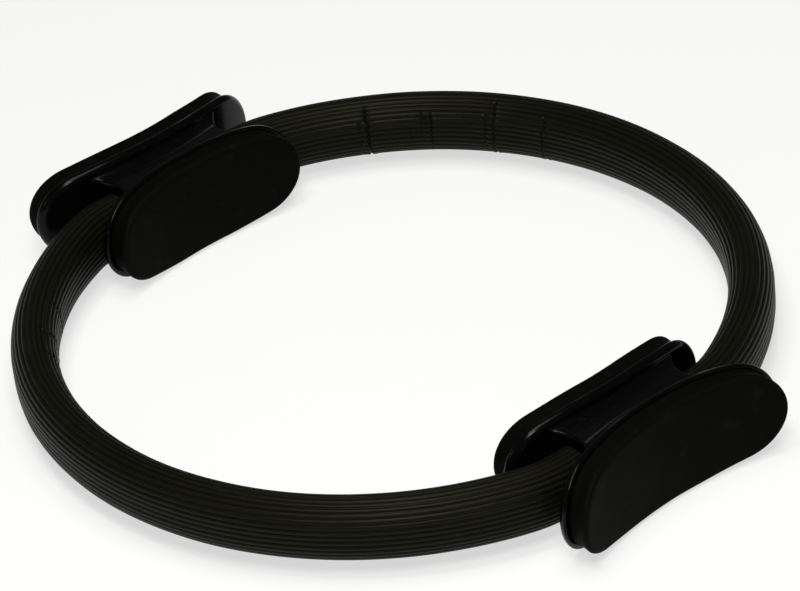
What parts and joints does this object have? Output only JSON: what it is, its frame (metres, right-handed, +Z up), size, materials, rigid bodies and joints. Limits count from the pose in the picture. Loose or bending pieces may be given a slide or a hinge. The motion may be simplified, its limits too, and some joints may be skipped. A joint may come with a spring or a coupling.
{
  "type": "pilates ring",
  "caption": "Springy exercise hoop lying flat: ribbed foam over a bent spring band, with two opposed spool-shaped handles whose soft oval pads are squeezed together or pressed apart",
  "frame": {"origin": "centre of the hoop, on the surface that it lies on", "axes": "+Z up out of the plane of the hoop, +Y from the near handle to the far handle, +X to the right half"},
  "size_m": [0.379, 0.4152, 0.054],
  "materials": {
    "sleeve_foam": "matte ribbed foam rubber",
    "pad_foam": "matte closed-cell foam rubber",
    "handle_plastic": "glossy moulded plastic",
    "spring_fibreglass": "pultruded fibreglass strip",
    "zinc_steel": "zinc plated steel"
  },
  "bodies": {
    "near_handle": {"near_outer_shell": "handle_plastic", "near_inner_shell": "handle_plastic", "near_outer_pad": "pad_foam", "near_inner_pad": "pad_foam", "near_shell_screws": "zinc_steel", "near_splice_plate": "zinc_steel", "near_splice_rivets": "zinc_steel"},
    "left_half": {"left_spring_band": "spring_fibreglass", "left_sleeve": "sleeve_foam"},
    "right_half": {"right_spring_band": "spring_fibreglass", "right_sleeve": "sleeve_foam"},
    "far_handle": {"far_outer_shell": "handle_plastic", "far_inner_shell": "handle_plastic", "far_outer_pad": "pad_foam", "far_inner_pad": "pad_foam", "far_shell_screws": "zinc_steel"},
    "far_splice": {"far_splice_plate": "zinc_steel", "far_splice_rivets": "zinc_steel"}
  },
  "joints": [
    {"name": "near_left_bend", "type": "slide", "parent": "near_handle", "child": "left_half", "axis": [-0.677, -0.736, 0], "range_m": [-0.02, 0.0544], "stiffness_N_per_m": 810, "deforming": ["left_spring_band", "left_sleeve"]},
    {"name": "far_left_bend", "type": "slide", "parent": "left_half", "child": "far_handle", "axis": [0.677, -0.736, 0], "range_m": [-0.02, 0.0544], "stiffness_N_per_m": 810, "deforming": ["left_spring_band", "left_sleeve"]},
    {"name": "near_right_bend", "type": "slide", "parent": "near_handle", "child": "right_half", "axis": [0.677, -0.736, 0], "range_m": [-0.02, 0.0544], "stiffness_N_per_m": 810, "deforming": ["right_spring_band", "right_sleeve"]},
    {"name": "far_right_bend", "type": "slide", "parent": "right_half", "child": "far_splice", "axis": [-0.677, -0.736, 0], "range_m": [-0.02, 0.0544], "stiffness_N_per_m": 810, "deforming": ["right_spring_band", "right_sleeve"]}
  ],
  "couplings": [
    {"joint": "far_left_bend", "follows": "near_left_bend", "ratio": 1},
    {"joint": "near_right_bend", "follows": "near_left_bend", "ratio": 1},
    {"joint": "far_right_bend", "follows": "near_left_bend", "ratio": 1}
  ]
}
